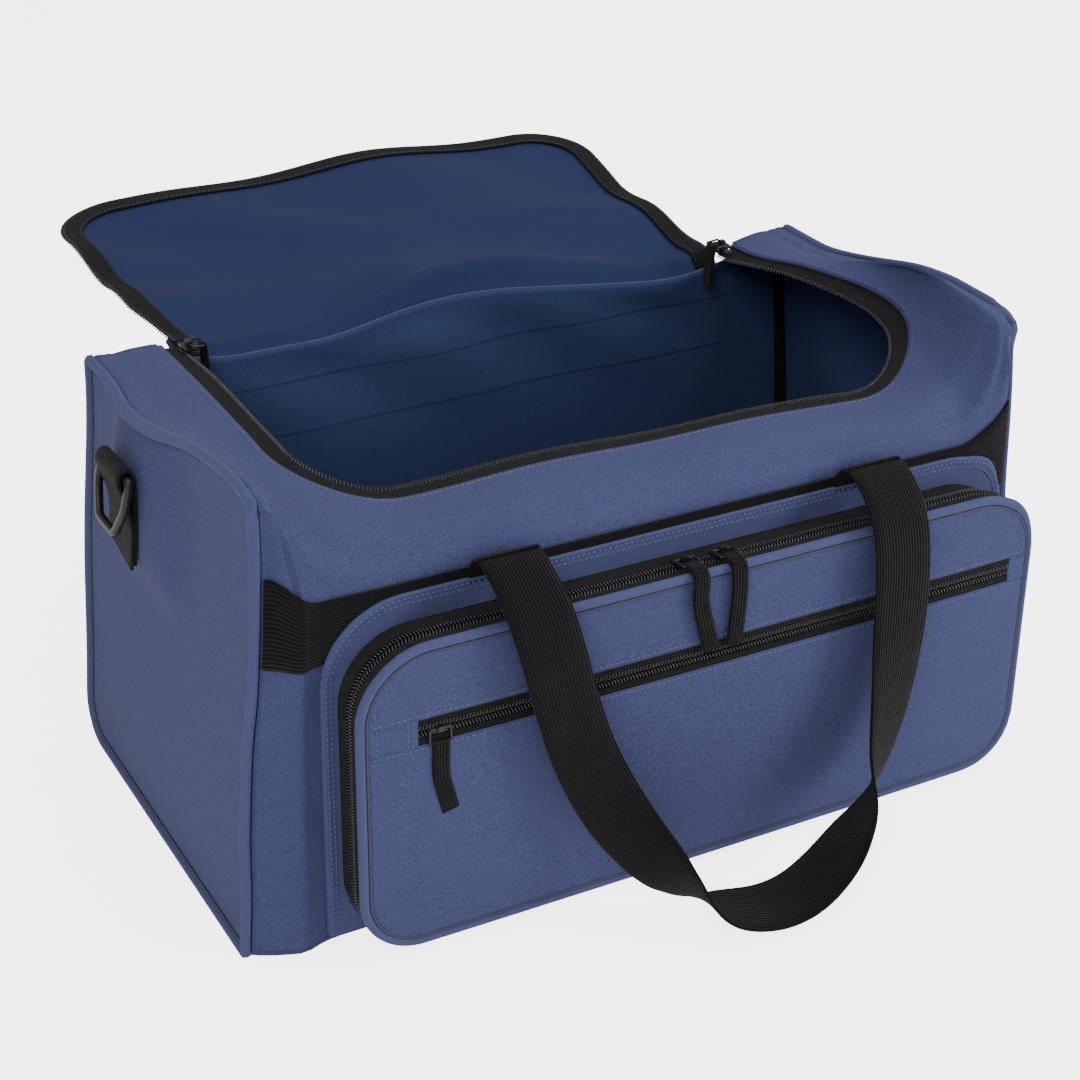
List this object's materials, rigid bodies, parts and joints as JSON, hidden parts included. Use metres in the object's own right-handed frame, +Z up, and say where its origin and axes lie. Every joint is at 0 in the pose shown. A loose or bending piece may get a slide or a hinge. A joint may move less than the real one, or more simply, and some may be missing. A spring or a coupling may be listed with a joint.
{
  "type": "flight bag",
  "caption": "Soft-sided flight bag with a zip-round lid lying open, a zip-round front pocket with its own face zip, webbing carry handles and a hanging ring at each end.",
  "frame": {"origin": "middle of the underside of the bottom panel, on the plane the bag rests on", "axes": "+X along the bag to its right end as seen from the front, +Y towards the back where the lid folds, +Z up"},
  "size_m": [0.5676, 0.5941, 0.2944],
  "materials": {
    "blue_twill": "matt twill weave, denim blue",
    "blue_piping": "matt twill over a cord, denim blue",
    "navy_lining": "plain weave with a soft sheen, navy",
    "black_webbing": "ribbed webbing, black",
    "black_tape": "fine ribbed zip tape, black",
    "black_coil": "satin coil, black",
    "black_binding": "matt binding tape, black",
    "slider_metal": "black enamel",
    "wire_steel": "bright drawn wire",
    "ring_plastic": "moulded, matt black"
  },
  "bodies": {
    "bag": {"front_panel": "blue_twill", "back_panel": "blue_twill", "bottom_panel": "blue_twill", "end_panel_left": "blue_twill", "end_panel_right": "blue_twill", "piping_left": "blue_piping", "piping_right": "blue_piping", "seam_binding_left": "black_binding", "seam_binding_right": "black_binding", "webbing_band_front": "black_webbing", "webbing_band_back": "black_webbing", "front_handle_anchors": "black_webbing", "back_handle_anchors": "black_webbing", "ring_loop_left": "black_webbing", "ring_loop_right": "black_webbing", "mouth_zip_tape": "black_tape", "mouth_zip_coil": "black_coil", "pocket_backing": "blue_twill", "pocket_rear_tape": "black_tape", "pocket_front_tape": "black_tape", "pocket_zip_coil": "black_coil", "pocket_bottom_gusset": "blue_twill", "pocket_piping": "blue_piping", "pocket_face_upper": "blue_twill", "pocket_face_lower": "blue_twill", "face_zip_end_left": "blue_twill", "face_zip_end_right": "blue_twill", "face_zip_tape": "black_tape", "face_zip_coil": "black_coil"},
    "lid": {"lid_panel": "navy_lining", "lid_zip_tape": "black_tape", "lid_zip_coil": "black_coil"},
    "front_handle": {"front_handle": "black_webbing"},
    "back_handle": {"back_handle": "black_webbing"},
    "d_ring_left": {"d_ring_left": "ring_plastic"},
    "d_ring_right": {"d_ring_right": "ring_plastic"},
    "pocket_slider_left": {"pocket_slider_left": "slider_metal"},
    "pocket_bail_left": {"pocket_bail_left": "wire_steel"},
    "pocket_pull_left": {"pocket_pull_left": "black_webbing"},
    "pocket_slider_right": {"pocket_slider_right": "slider_metal"},
    "pocket_bail_right": {"pocket_bail_right": "wire_steel"},
    "pocket_pull_right": {"pocket_pull_right": "black_webbing"},
    "mouth_slider_left": {"mouth_slider_left": "slider_metal"},
    "mouth_bail_left": {"mouth_bail_left": "wire_steel"},
    "mouth_pull_left": {"mouth_pull_left": "black_webbing"},
    "mouth_slider_right": {"mouth_slider_right": "slider_metal"},
    "mouth_bail_right": {"mouth_bail_right": "wire_steel"},
    "mouth_pull_right": {"mouth_pull_right": "black_webbing"},
    "face_slider": {"face_slider": "slider_metal"},
    "face_bail": {"face_bail": "wire_steel"},
    "face_pull": {"face_pull": "black_webbing"}
  },
  "joints": [
    {"name": "lid_hinge", "type": "hinge", "parent": "bag", "child": "lid", "pos_m": [0, 0.136, 0.257], "axis": [1, 0, 0], "range_deg": [-68, 170]},
    {"name": "front_handle_hinge", "type": "hinge", "parent": "bag", "child": "front_handle", "pos_m": [0.004, -0.149, 0.228], "axis": [-1, 0, 0], "range_deg": [0, 168]},
    {"name": "back_handle_hinge", "type": "hinge", "parent": "bag", "child": "back_handle", "pos_m": [0, 0.144, 0.229], "axis": [1, 0, 0], "range_deg": [0, 88]},
    {"name": "d_ring_left_hinge", "type": "hinge", "parent": "bag", "child": "d_ring_left", "pos_m": [-0.2733, 0.025, 0.238], "axis": [0, 1, 0], "range_deg": [0, 142]},
    {"name": "d_ring_right_hinge", "type": "hinge", "parent": "bag", "child": "d_ring_right", "pos_m": [0.2733, 0.025, 0.238], "axis": [0, -1, 0], "range_deg": [0, 142]},
    {"name": "pocket_slider_left_slide", "type": "slide", "parent": "bag", "child": "pocket_slider_left", "axis": [-1, 0, 0], "range_m": [0, 0.15]},
    {"name": "pocket_bail_left_hinge", "type": "hinge", "parent": "pocket_slider_left", "child": "pocket_bail_left", "pos_m": [-0.007, -0.1545, 0.2014], "axis": [-1, 0, 0], "range_deg": [0, 110]},
    {"name": "pocket_pull_left_hinge", "type": "hinge", "parent": "pocket_bail_left", "child": "pocket_pull_left", "pos_m": [-0.007, -0.1635, 0.202], "axis": [-1, 0, 0], "range_deg": [0, 48]},
    {"name": "pocket_slider_right_slide", "type": "slide", "parent": "bag", "child": "pocket_slider_right", "axis": [1, 0, 0], "range_m": [0, 0.15]},
    {"name": "pocket_bail_right_hinge", "type": "hinge", "parent": "pocket_slider_right", "child": "pocket_bail_right", "pos_m": [0.018, -0.1545, 0.2014], "axis": [-1, 0, 0], "range_deg": [0, 110]},
    {"name": "pocket_pull_right_hinge", "type": "hinge", "parent": "pocket_bail_right", "child": "pocket_pull_right", "pos_m": [0.018, -0.1635, 0.202], "axis": [-1, 0, 0], "range_deg": [0, 48]},
    {"name": "face_slider_slide", "type": "slide", "parent": "bag", "child": "face_slider", "axis": [1, 0, 0], "range_m": [0, 0.36]},
    {"name": "face_bail_hinge", "type": "hinge", "parent": "face_slider", "child": "face_bail", "pos_m": [-0.167, -0.1709, 0.146], "axis": [-1, 0, 0], "range_deg": [0, 150]},
    {"name": "face_pull_hinge", "type": "hinge", "parent": "face_bail", "child": "face_pull", "pos_m": [-0.167, -0.1709, 0.137], "axis": [-1, 0, 0], "range_deg": [0, 27]},
    {"name": "mouth_slider_left_slide", "type": "slide", "parent": "bag", "child": "mouth_slider_left", "axis": [0, -1, 0], "range_m": [0, 0.13]},
    {"name": "mouth_bail_left_hinge", "type": "hinge", "parent": "mouth_slider_left", "child": "mouth_bail_left", "pos_m": [-0.191, 0.124, 0.2602], "axis": [0, -1, 0], "range_deg": [0, 150]},
    {"name": "mouth_pull_left_hinge", "type": "hinge", "parent": "mouth_bail_left", "child": "mouth_pull_left", "pos_m": [-0.1834, 0.124, 0.2594], "axis": [0, -1, 0], "range_deg": [0, 70]},
    {"name": "mouth_slider_right_slide", "type": "slide", "parent": "bag", "child": "mouth_slider_right", "axis": [0, -1, 0], "range_m": [0, 0.13]},
    {"name": "mouth_bail_right_hinge", "type": "hinge", "parent": "mouth_slider_right", "child": "mouth_bail_right", "pos_m": [0.191, 0.124, 0.2602], "axis": [0, 1, 0], "range_deg": [0, 150]},
    {"name": "mouth_pull_right_hinge", "type": "hinge", "parent": "mouth_bail_right", "child": "mouth_pull_right", "pos_m": [0.1834, 0.124, 0.2594], "axis": [0, 1, 0], "range_deg": [0, 70]}
  ]
}
